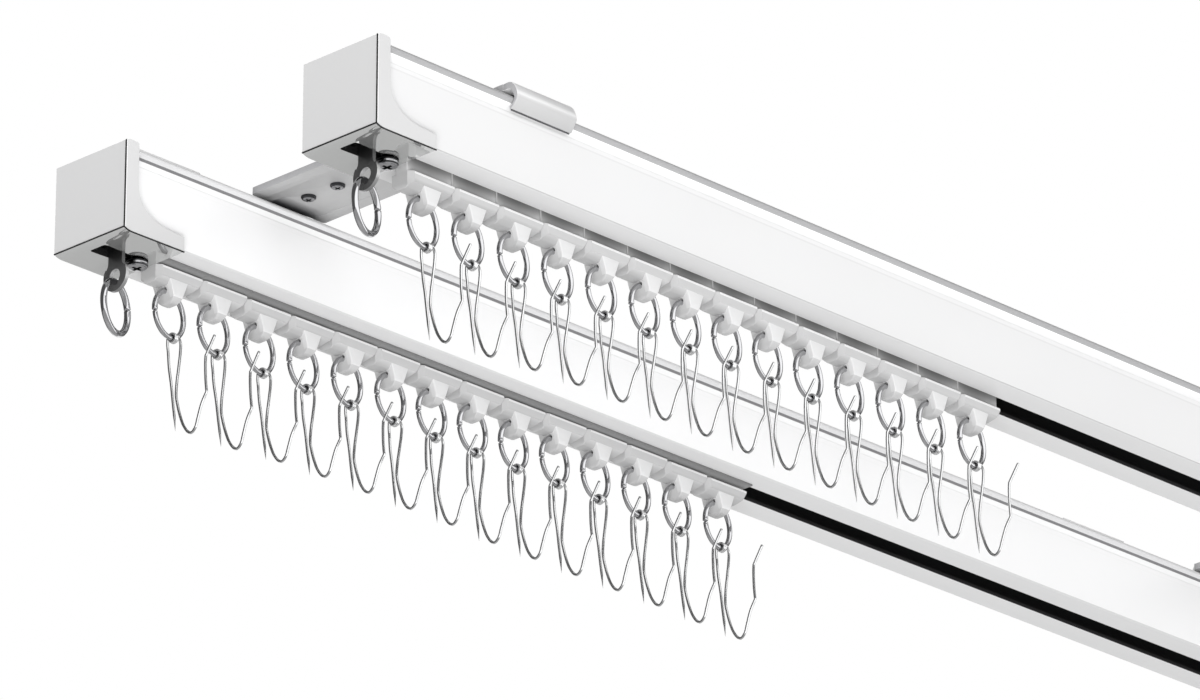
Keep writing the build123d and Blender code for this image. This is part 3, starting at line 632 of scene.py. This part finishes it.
def cap_line_bm():
    """Dark shadow gap between the cap's face plate and its body, as two thin inlays."""
    foot = [(0.0, -29.0), (0.6, -29.35), (1.5, -29.68), (2.6, -29.86), (3.9, -29.9), (25.0, -29.9)]
    parts = []
    parts.append(tube([(0, -15.85, 0.0), (0, -15.85, -29.0)], 0.25, 8))
    parts.append(tube([(x, -15.85, z) for x, z in foot], 0.24, 8))
    parts.append(tube([(0, -15.85, -29.0), (0, 15.85, -29.0)], 0.24, 8))
    return join(*parts)


def stop_plate_bm():
    outline = [(-3.1, -26.0), (-3.1, -32.6)]
    outline += [(-3.25, -33.6), (-3.9, -34.7)]
    outline += arc(0, -37.3, 5.15, 146, 394, 36)
    outline += [(3.9, -34.7), (3.25, -33.6), (3.1, -32.6), (3.1, -26.0)]
    bm = prism(outline, 10.9, 12.2)
    hole = rod(2.35, (11.5, 0, -37.5), (1, 0, 0), 4, 36)
    bm = carve(bm, [hole], 0.2, 3, 40)
    foot = carve(block(10.9, 24.0, -9.0, 9.0, -27.0, -25.1), [rod(2.1, (20, 0, -26), (0, 0, 1), 4)], 0.2, 2)
    for f in bm.faces:
        c, n = f.calc_center_median(), f.normal
        f.material_index = 1 if abs(n.x) < 0.75 else 0
    return join(bm, foot)


def cross_cutters(x, y, z, half, width, depth, way):
    """Cross recess: two tapered bars; way is the side it opens to."""
    out = []
    for a, b in ((half, width), (width, half)):
        out.append(loft([(z + way * 0.6, a + 0.1, b + 0.1, 0.05, x, y), (z - way * depth, a * 0.55, b * 0.55, 0.05, x, y)]))
    return out


def cap_screw_bm():
    c = (20.0, 0.0)
    head = lathe([(0, -32.3), (2.0, -32.27), (2.8, -32.12), (3.25, -31.8), (3.45, -31.3), (3.48, -30.7), (3.3, -30.5), (3.3, -30.38), (3.48, -30.25),
                  (3.45, -30.05), (3.3, -29.96), (0, -29.96)], c, 48)
    head = carve(head, cross_cutters(c[0], c[1], -32.25, 2.0, 0.5, 1.7, -1), 0.0)
    # the cross recess, and two dark bands on the head's side as painted shade, a chrome band left between them
    for f in head.faces:
        ctr = f.calc_center_median()
        r = math.hypot(ctr.x - c[0], ctr.y - c[1])
        if (r < 2.2 and -32.2 < ctr.z < -30.4) or (r > 2.6 and not -31.2 < ctr.z < -30.6 and ctr.z > -31.9):
            f.material_index = 1
    # threaded shank: stacked rounded rings
    prof = [(0, -30.05), (1.7, -30.05)]
    z = -29.9
    while z < -18.4:
        prof += [(1.7, z), (2.0, z + 0.22), (2.0, z + 0.34), (1.7, z + 0.56)]
        z += 0.7
    prof += [(1.6, -17.9), (0, -17.75)]
    return join(head, lathe(prof, c, 32, 1))


def ring_bm(radius, wire, yaw, centre, gap_at, gap, tilt=0.0, n=72, seg=14):
    """Split ring; the gap's ends are square with a small round. wire is a radius or a function."""
    pts = []
    a0, a1 = gap_at + gap / 2, gap_at + 360 - gap / 2
    for i in range(n + 1):
        a = math.radians(a0 + (a1 - a0) * i / n)
        pts.append(Vector((radius * math.cos(a), 0, radius * math.sin(a))))
    turn = Matrix.Translation(centre) @ Matrix.Rotation(math.radians(yaw), 4, "Z") @ Matrix.Rotation(math.radians(tilt), 4, "X")
    bm = tube(pts, wire, seg)
    bm.transform(turn)
    return bm


CAP, CAP_LINE, STOP, SCREW = cap_bm(), cap_line_bm(), stop_plate_bm(), cap_screw_bm()
STOP_RING = ring_bm(8.2, 1.06, 21.0, (11.6, 0, -47.75), 14.0, 3.2, 0, 80, 16)
screws = []
for row, y in (("front", 0.0), ("rear", GAP)):
    for side in ("left", "right"):
        flip = side == "right"
        put(f"end_cap_{row}_{side}_v", join(moved(CAP, 0, y, 0, flip)), [M_CAP, M_CAP_UNDER, M_CAP_LINE, M_CAP_DARK, M_CAP_SIDE], "track",
            f"end_cap_{row}_{side}", 30)
        line = put(f"end_cap_line_{row}_{side}_v", moved(CAP_LINE, 0, y, 0, flip), [M_CAP_LINE], "track", None)
        put(f"stop_plate_{row}_{side}_v", moved(STOP, 0, y, 0, flip), [M_STOP, M_STOP_EDGE], "track", f"stop_plate_{row}_{side}",
            40)
        put(f"stop_ring_{row}_{side}_v", moved(STOP_RING, 0, y, 0, flip), [M_CHROME], f"stop_ring_{row}_{side}",
            f"stop_ring_{row}_{side}", 60)
        screws.append(moved(SCREW, 0, y, 0, flip))
put("cap_screws_v", join(*screws), [M_SCREW, M_RECESS_AND_SHADE], "track", "cap_screws", 40)


# ------------------------------------------------------------------- runners


def runner_bm(raised, aside=0.0, shadow_sheet=False):
    # boat-shaped base with a chamfer at its near left corner
    hull = loft([(-31.3, 9.3, 3.95, 0.4, 0, 0), (-31.45, 9.4, 4.1, 0.4, 0, 0), (-32.15, 9.4, 4.12, 0.4, 0, 0), (-34.9, 8.55, 4.12, 0.4, -0.85, 0),
                 (-36.35, 7.75, 2.4, 0.4, -1.5, 0), (-36.6, 7.55, 1.8, 0.4, -1.55, 0)])
    hull = carve(hull, [prism([(-10.5, -5.5), (-6.63, -5.0), (-9.4, -2.65), (-10.5, -1.8)], -38, -31, "Z")], 0.0)
    for f in hull.faces:
        c, n = f.calc_center_median(), f.normal
        f.material_index = 6 if n.x < -0.35 else 1 if -32.1 < c.z < -31.31 and n.z < 0.95 else 2
    tongue = loft([(-33.2, 4.0, 4.0, 0.3, 0, 0), (-35.0, 3.75, 4.09, 0.3, 0, 0), (-36.8, 3.1, 4.08, 0.3, 0, 0), (-38.5, 2.5, 4.05, 0.3, 0, 0),
                   (-39.6, 2.12, 4.0, 0.3, 0, 0), (-40.3, 1.9, 3.75, 0.3, 0, 0), (-41.0, 1.75, 3.2, 0.3, 0, 0), (-41.7, 1.5, 2.3, 0.4, 0, 0),
                   (-42.05, 1.2, 1.5, 0.4, 0, 0), (-42.15, 0.8, 0.9, 0.3, 0, 0)])
    c, s = math.cos(math.radians(11)), math.sin(math.radians(11))
    tongue = carve(tongue, [rod(1.0, (0, 0, -37.6), (c, s, 0), 9, 28)], 0.0)
    bmesh.ops.bisect_plane(tongue, geom=tongue.verts[:] + tongue.edges[:] + tongue.faces[:], plane_co=(0, -2.2, 0), plane_no=(0, 1, 0))
    for f in tongue.faces:
        n, z = f.normal, f.calc_center_median().z
        f.material_index = 3 if z < -40.4 else 0 if n.y < -0.45 and abs(n.x) < 0.6 else 5 if f.calc_center_median().y < -2.2 and n.x < 0 else 3
    tongue.transform(Matrix.Translation((aside, 0, 0)))
    low = join(hull, tongue)
    low.transform(Matrix.Translation((0, 0, raised)))
    neck = loft([(-31.6 + raised, 9.38, 2.6, 0.5, 0, 0), (-26.0, 9.38, 2.6, 0.5, 0, 0)], 4)
    for f in neck.faces:
        if f.normal.x < -0.5:
            f.material_index = 6
    head = loft([(-27.08, 8.8, 6.3, 3.0, 0, 0), (-26.9, 8.9, 6.4, 3.0, 0, 0), (-24.8, 8.9, 6.4, 3.0, 0, 0), (-24.5, 8.6, 6.1, 2.8, 0, 0),
                 (-24.45, 6.9, 2.5, 1.2, 0, 0), (-20.8, 6.9, 2.5, 1.2, 0, 0), (-20.6, 6.6, 2.2, 1.0, 0, 0)])
    parts = [low, neck, head]
    # rear row: a dark sheet just under the rail on both sides of the neck, painted shadow of the runners on the rail's
    # underside
    if shadow_sheet:
        parts.append(loft([(-28.95, 9.38, 6.8, 0.3, 0, 0), (-28.53, 9.38, 6.8, 0.3, 0, 0)], 7))
    return join(*parts)


RUNNER_RING = ring_bm(7.45, lambda t: 0.79 + 0.13 * t, 11.0, (0, 0, -45.0), 188.0, 5.5, 0, 64, 14)

BOW = [(1.41, 0.0), (1.75, -0.6), (2.36, -1.9), (2.51, -4.56), (1.71, -9.31), (0.76, -14.63), (0.46, -18.23), (0.94, -21.69),
       (1.85, -25.53), (2.92, -28.52), (4.51, -30.83), (5.81, -31.41), (7.30, -30.01), (8.35, -27.19), (9.91, -22.94),
       (11.94, -19.41), (11.73, -15.09), (11.85, -9.6), (12.04, -7.82), (15.28, -1.92)]
PIN = [(-1.41, 0.0), (-1.62, -0.8), (-1.92, -2.09), (-2.11, -4.2), (-1.88, -9.16), (-1.19, -14.84), (-0.66, -21.05), (-0.27, -25.1),
       (0.03, -30.04)]


def hook_bm():
    """Pleat hook about its coil's middle: the wire runs down from the coil on both sides."""
    c, s = math.cos(math.radians(11)), math.sin(math.radians(11))
    d, h, up = Vector((c, s, 0)), Vector((s, -c, 0)), Vector((0, 0, 1))
    w, r, pitch, turns = 0.44, 1.27, 0.86, 2.5

    def at(hh, zz, dd):
        return h * hh + up * zz + d * dd

    n = 60
    # starts on the pin's side, goes over the ring and ends on the bow's side
    coil = []
    for i in range(n + 1):
        a = math.radians(180 - 360 * turns * i / n)
        coil.append(at(r * math.cos(a), r * math.sin(a), -pitch * turns / 2 + pitch * turns * i / n))
    # the legs lean a little: shifts of h with depth
    lean_pin = [(x + 1.35 * min(1.0, -z / 30.0), z, -pitch * turns / 2 + (pitch * turns / 2) * min(1.0, -z / 4.0)) for x, z in PIN]
    lean_bow = [(x + (-0.6 if i else 0.0) * min(1.0, -z / 3.0) + 1.5 * max(0.0, min(1.0, (-z - 4.0) / 27.0)), z, pitch * turns / 2)
                for i, (x, z) in enumerate(BOW)]
    pin = smooth_path([at(x, z, dd) for x, z, dd in reversed(lean_pin)], 6)
    bow = smooth_path([at(x, z, dd) for x, z, dd in lean_bow], 7, (15, 18))
    path = pin[:-1] + coil + bow[1:]
    total = sum((b - a).length for a, b in zip(path, path[1:]))

    def radius(t):
        along = t * total
        if along < 5.0:
            return w * (0.12 + 0.88 * along / 5.0)
        return w

    bm = tube(path, radius, 12)
    bm.faces.ensure_lookup_table()
    for i in range((len(pin) - 1) * 12, (len(pin) - 2 + len(coil)) * 12):
        bm.faces[i].material_index = 1
    return bm


def shaped(bm, drop, lean):
    """The hook with its legs shortened by drop and leant along X, both at the bow's middle."""
    out = bm.copy()
    for v in out.verts:
        z = v.co.z
        if z < -1.5:
            v.co.x += lean * (-z - 1.5) / 24.5
            v.co.z = -1.5 + (z + 1.5) * (1 - drop / 24.5)
    return out


HOOK = hook_bm()
COIL_X, COIL_Y, COIL_Z = 2.2, 0.32, -52.15
# how each runner hangs: tongue along the rail, height, hook's legs shorter, hook's lean (mm)
HANG = {
    "front": [(0.30, -0.80, -0.3, -0.2), (0.40, -0.70, 0.5, -0.2), (0.85, -0.60, 1.5, -0.6), (0.92, -0.15, 1.7, -0.8), (1.00, 0.15, 1.6, -0.8),
              (1.10, 0.30, 1.1, -1.0), (0.50, 0.35, 1.1, -1.1), (-0.04, 0.50, 0.8, -1.1), (-0.46, 0.45, 0.6, -1.0), (-0.79, 0.25, 0.4, -0.8),
              (-0.75, 0.15, 0.2, -0.8), (-0.54, 0.15, 0.1, -0.9), (-0.33, -0.10, 0.0, -0.8), (0.08, -0.25, -0.3, -0.9)],
    "rear": [(-0.40, 0.0, -0.8, 0.1), (-0.54, 0.15, -0.7, 0.5), (0.08, -0.30, 0.7, 0.1), (0.12, -0.15, 0.9, 0.0), (0.37, 0.15, 0.7, -0.2),
             (0.60, 0.20, 0.5, -0.7), (0.04, 0.05, 0.5, -0.6), (-0.50, 0.10, -0.3, -0.3), (-0.79, -0.10, -0.3, -0.3), (-0.96, 0.15, -0.8, -0.2),
             (-0.96, 0.15, -0.8, -0.1), (-0.83, 0.10, -0.8, -0.1), (-0.50, -0.25, -1.0, -0.1), (-0.04, -0.45, -1.2, -0.2)],
}
for row, y, first, pitch, up in (("front", 0.0, 35.25, 19.0, 0.0), ("rear", GAP, 34.75, 18.9, 1.6)):
    nylon = runner_materials(row, first, pitch, up)
    for k in range(1, 15):
        aside, high, drop, lean = HANG[row][k - 1]
        aside -= 0.35
        x, z = first + (k - 1) * pitch, up + high
        node = f"runner_{row}_{k:02d}"
        apart = k in (1, 14)
        put(f"{node}_v", moved(runner_bm(z, aside, row == "rear"), x, y), nylon, node, node, 28)
        ring, hook = f"runner_ring_{row}_{k:02d}", f"pleat_hook_{row}_{k:02d}"
        put(f"{ring}_v", moved(RUNNER_RING, x + aside - 0.15, y, z), [M_CHROME], ring if apart else node, ring if apart else node, 60)
        put(f"{hook}_v", moved(shaped(HOOK, drop, lean), x + aside + COIL_X, y + COIL_Y, COIL_Z + z), [M_HOOK, M_COIL], hook if apart else node,
            hook if apart else node, 60)


# ------------------------------------------------------------------- bracket


ARM_Z, SHEET = 1.4, 2.2


def front_arm_bm(x):
    w, c = 16.3, 9.9
    z0, z1 = ARM_Z, ARM_Z + SHEET
    plan = [(-w, -11.6), (-w, 100.0), (w, 100.0), (w, -6.5), (c, -11.6)]
    plate = prism(rounded(plan, [0, 1.5, 1.5, 2.5, 0.6], 5), z0, z1, "Z")
    plate.transform(Matrix.Translation((x, 0, 0)))
    holes = [rod(1.6, (x - 2.0, yy, 2), (0, 0, 1), 6, 24) for yy in (75.0, 88.0)] + [rod(1.6, (x, 0, 2), (0, 0, 1), 6, 24)]
    mark = [(-11.0, 74.5), (-11.0, 99.8), (11.0, 99.8), (11.0, 74.5)] + arc(0, 74.5, 11.0, 0, -180, 24)[1:-1]
    mark_bm = prism(mark, z0 - 1, z0 + 0.1, "Z")
    mark_bm.transform(Matrix.Translation((x, 0, 0)))
    plate = carve(plate, holes + [mark_bm], 0.25, 3, 50)
    # the underside gets the shaded copy, the left-facing end faces the painted shade
    for f in plate.faces:
        if f.normal.z < -0.9:
            f.material_index = 1
        elif f.normal.x < -0.9:
            f.material_index = 2
    outer = [(-11.2, z1), (-13.6, z1 + 0.15), (-14.6, z1 - 0.02), (-15.5, z1 - 0.5), (-16.3, z1 - 1.3), (-16.9, z1 - 2.2), (-17.45, 0.2),
             (-17.75, -0.8), (-17.85, -1.7), (-17.75, -2.4), (-17.4, -3.1), (-16.5, -4.4), (-15.7, -5.5), (-15.3, -5.65), (-14.8, -5.5),
             (-14.6, -5.05), (-15.3, -4.0), (-16.0, -3.0), (-16.15, -2.4), (-16.1, -1.7), (-15.8, -0.8), (-15.2, 0.4), (-14.4, z0 - 0.25),
             (-13.4, z0), (-11.2, z0)]
    curl = prism(outer, x - 16.25, x + 9.4)
    curl = carve(curl, [], 0.3, 3, 50)
    for f in curl.faces:
        if f.normal.x < -0.9:
            f.material_index = 2
    # dark tube in the gap between the curl and the bead: painted shade
    gap = tube([(x - 15.6, -14.6, -5.5), (x + 9.1, -14.6, -5.5)], 0.38, 8, 3)
    return join(plate, curl, gap)


def wall_arm_bm(x):
    w, t, z0, s = 16.3, 11.0, ARM_Z, SHEET
    tongue = [(-t, 74.5), (-t, 103.0), (t, 103.0), (t, 74.5)] + arc(0, 74.5, t, 0, -180, 24)[1:-1]
    a = prism(tongue, z0 + s, z0 + 2 * s, "Z")
    # the bend ends a hair inside the plates on both sides of it, so no two faces lie in one plane
    bend = rounded([(99.0, z0 + s + 0.02), (101.5, z0 + s + 0.02), (103.5, z0 + 0.02), (107.8, z0 + 0.02), (107.8, z0 + s - 0.02),
                    (104.5, z0 + s - 0.02), (102.5, z0 + 2 * s - 0.02), (99.0, z0 + 2 * s - 0.02)], [0, 0.8, 0.8, 0, 0, 0.8, 0.8, 0], 5)
    side = rounded([(106.0, z0), (160, z0), (160, 37), (160 - s, 37), (160 - s, z0 + s), (106.0, z0 + s)], [0, 3.4, 0, 0, 1.2, 0], 5)
    b, joggle = prism(side, -w, w), prism(bend, -t + 0.02, t - 0.02)
    for bm in (a, b, joggle):
        bm.transform(Matrix.Translation((x, 0, 0)))
    holes = [rod(1.6, (x - 2.0, yy, 4), (0, 0, 1), 6, 24) for yy in (75.0, 88.0)]
    a = carve(a, holes, 0.25, 3, 50)
    holes = [rod(1.6, (x, GAP, 2), (0, 0, 1), 6, 24)] + [rod(2.6, (x, 159, zz), (0, 1, 0), 6, 32) for zz in (10.0, 30.0)]
    b = join(carve(b, holes, 0.25, 3, 50), carve(joggle, [], 0.25, 3, 50))
    for f in b.faces:
        if f.normal.z < -0.9 and f.calc_center_median().z < 5:
            f.material_index = 1
    return join(a, b)


def clip_bm(x, y, half_top, length=24.0):
    m, z, t, lip = 8.7, -1.2, ARM_Z - 0.02, -2.55
    half = [(m - 1.4, z), (m - 1.4, lip - 1.2), (m + 1.6, lip - 1.2), (m + 1.6, lip - 0.6), (m, lip), (m, z), (half_top, z),
            (half_top, t - 0.5), (half_top - 0.5, t)]
    left = [(-a, b) for a, b in reversed(half)]
    bm = prism([(a + y, b) for a, b in left + half], x - length / 2, x + length / 2)
    return carve(bm, [rod(1.25, (x, y, 0), (0, 0, 1), 6, 24)], 0.2, 2, 40)


def pan_screw_bm(x, y, head_z, tip_z, shank, slot=0):
    s = 1 if tip_z > head_z else -1
    e = head_z - s * 1.3
    prof = [(0, e - s * 0.05), (1.2, e), (1.9, e + s * 0.18), (2.3, e + s * 0.55), (2.4, e + s * 0.9), (2.4, head_z), (shank, head_z + s * 0.02)]
    z = head_z + s * 0.1
    while abs(tip_z - z) > 0.6:
        prof += [(shank - 0.18, z), (shank, z + s * 0.18), (shank, z + s * 0.28), (shank - 0.18, z + s * 0.46)]
        z += s * 0.5
    prof += [(shank - 0.3, tip_z), (0, tip_z)]
    bm = lathe(prof, (x, y), 36)
    bm = carve(bm, cross_cutters(x, y, e, 1.3, 0.3, 0.8, -s), 0.0)
    for f in bm.faces:
        c = f.calc_center_median()
        r = math.hypot(c.x - x, c.y - y)
        f.material_index = 0 if (r < 1.45 and (c.z - e) * s > 0.03) or r > 2.0 else slot
    return bm


bracket_screws = []
for x, side in ((73.5, "left"), (526.5, "right")):
    put(f"bracket_front_arm_{side}_v", front_arm_bm(x), [M_BRACKET, M_ARM_UNDER, M_ARM_EDGE, M_GAP], "track", f"bracket_front_arm_{side}", 35)
    put(f"bracket_wall_arm_{side}_v", wall_arm_bm(x), [M_BRACKET, M_ARM_UNDER], "track", f"bracket_wall_arm_{side}", 35)
    put(f"lock_clip_front_{side}_v", clip_bm(x, 0.0, 13.2), [M_SPRING], "track", f"lock_clip_front_{side}")
    put(f"lock_clip_rear_{side}_v", clip_bm(x, GAP, 10.4), [M_SPRING], "track", f"lock_clip_rear_{side}")
    for yy in (75.0, 88.0):
        bracket_screws.append(pan_screw_bm(x - 2.0, yy, ARM_Z + 0.22, ARM_Z + 2 * SHEET + 1.4, 1.5, 1))
    bracket_screws.append(pan_screw_bm(x, 0.0, ARM_Z + SHEET, -0.9, 1.2))
    bracket_screws.append(pan_screw_bm(x, GAP, ARM_Z + SHEET, -0.9, 1.2))
put("bracket_screws_v", join(*bracket_screws), [M_DARK_SCREW, M_JOINT_SCREW], "track", "bracket_screws", 40)


# ------------------------------------------------------- floor, light, camera


def floor():
    bm = bmesh.new()
    n, half, z = 24, 8.0, -3.6
    verts = [[bm.verts.new((-half + 2 * half * i / n, -half + 2 * half * j / n, z)) for j in range(n + 1)] for i in range(n + 1)]
    for i in range(n):
        for j in range(n):
            bm.faces.new((verts[i][j], verts[i + 1][j], verts[i + 1][j + 1], verts[i][j + 1]))
    mesh = bpy.data.meshes.new("floor")
    bm.to_mesh(mesh)
    bm.free()
    s = paint("floor", (0.80, 0.80, 0.80), (0.78, 0.78, 0.78), 0.8, 30.0, 0.02)
    mesh.materials.append(s.mat)
    obj = bpy.data.objects.new("floor", mesh)
    bpy.context.scene.collection.objects.link(obj)
    return obj


floor()

scene = bpy.context.scene
scene.view_settings.view_transform = "Standard"
scene.view_settings.look = "None"
world = bpy.data.worlds.new("studio")
scene.world = world
world.use_nodes = True
wt = world.node_tree
bg = wt.nodes["Background"]
tc = wt.nodes.new("ShaderNodeTexCoord")


def sky(op, a, b):
    n = wt.nodes.new("ShaderNodeVectorMath" if op == "DOT_PRODUCT" else "ShaderNodeMath")
    n.operation = op
    for i, v in enumerate((a, b)):
        if isinstance(v, (int, float, tuple)):
            n.inputs[i].default_value = v
        else:
            wt.links.new(v, n.inputs[i])
    return n.outputs["Value"]


def sky_map(v, a, b, c, d):
    n = wt.nodes.new("ShaderNodeMapRange")
    n.interpolation_type = "SMOOTHSTEP"
    for name, x in zip(("From Min", "From Max", "To Min", "To Max"), (a, b, c, d)):
        n.inputs[name].default_value = x
    wt.links.new(v, n.inputs["Value"])
    return n.outputs["Result"]


# a pale room; white behind the part
axes = wt.nodes.new("ShaderNodeSeparateXYZ")
wt.links.new(tc.outputs["Generated"], axes.inputs[0])
wt.links.new(sky_map(axes.outputs["Z"], -0.25, 0.45, 0.22, 0.72), bg.inputs["Color"])
white = wt.nodes.new("ShaderNodeBackground")
white.inputs["Color"].default_value = (1, 1, 1, 1)

# what the polished metal mirrors: a soft box to the right of the camera's side,
# a pale floor, black all round
box_dir = (0.153, -0.961, -0.232)
soft_box = sky_map(sky("DOT_PRODUCT", tc.outputs["Generated"], box_dir), 0.34, 0.56, 0.0, 2.1)
pale = sky_map(sky("DOT_PRODUCT", tc.outputs["Generated"], (0.6617, 0.643, -0.3857)), 0.80, 0.93, 0.0, 1.36)
mirror = sky("MAXIMUM", sky("MAXIMUM", soft_box, pale), 0.15)
bg2 = wt.nodes.new("ShaderNodeBackground")
wt.links.new(mirror, bg2.inputs["Color"])
way = wt.nodes.new("ShaderNodeMixShader")
light_path = wt.nodes.new("ShaderNodeLightPath")
wt.links.new(light_path.outputs["Is Glossy Ray"], way.inputs["Fac"])
wt.links.new(bg.outputs["Background"], way.inputs[1])
wt.links.new(bg2.outputs["Background"], way.inputs[2])
out_node = next(n for n in wt.nodes if n.type == "OUTPUT_WORLD")
seen = wt.nodes.new("ShaderNodeMixShader")
wt.links.new(light_path.outputs["Is Camera Ray"], seen.inputs["Fac"])
wt.links.new(way.outputs["Shader"], seen.inputs[1])
wt.links.new(white.outputs["Background"], seen.inputs[2])
wt.links.new(seen.outputs["Shader"], out_node.inputs["Surface"])


def area(name, pos, target, size, power, color=(1, 1, 1)):
    data = bpy.data.lights.new(name, "AREA")
    data.shape, data.size, data.size_y = "RECTANGLE", size[0], size[1]
    data.energy, data.color = power, color
    obj = bpy.data.objects.new(name, data)
    obj.location = pos
    obj.rotation_euler = (Vector(target) - Vector(pos)).to_track_quat("-Z", "Y").to_euler()
    scene.collection.objects.link(obj)
    obj.visible_glossy = False
    return obj


area("front", (-1.95, -2.15, -1.97), (-0.1, -0.1, 0), (2.4, 2.0), 122.0)
area("key", (-0.6, -2.2, 1.6), (0, -0.1, 0), (1.6, 1.0), 5.0)

# camera from the photograph's own perspective
R = Vector((0.69686412, -0.71720318, 0.0))
U = Vector((-0.27659034, -0.26874655, 0.92264461))
B = Vector((-0.66172365, -0.64295792, -0.3856513))
cam = bpy.data.cameras.new("camera")
cam.sensor_fit, cam.sensor_width, cam.lens = "HORIZONTAL", 36.0, 8007.0 * 36.0 / 1200.0
cam.clip_start, cam.clip_end = 0.05, 60.0
co = bpy.data.objects.new("camera", cam)
co.matrix_world = Matrix(((R.x, U.x, B.x, (-1503.995 - 300) / 1000), (R.y, U.y, B.y, (-1569.459 - 160) / 1000),
                          (R.z, U.z, B.z, (-1005.395 - 20) / 1000), (0, 0, 0, 1)))
scene.collection.objects.link(co)
scene.camera = co
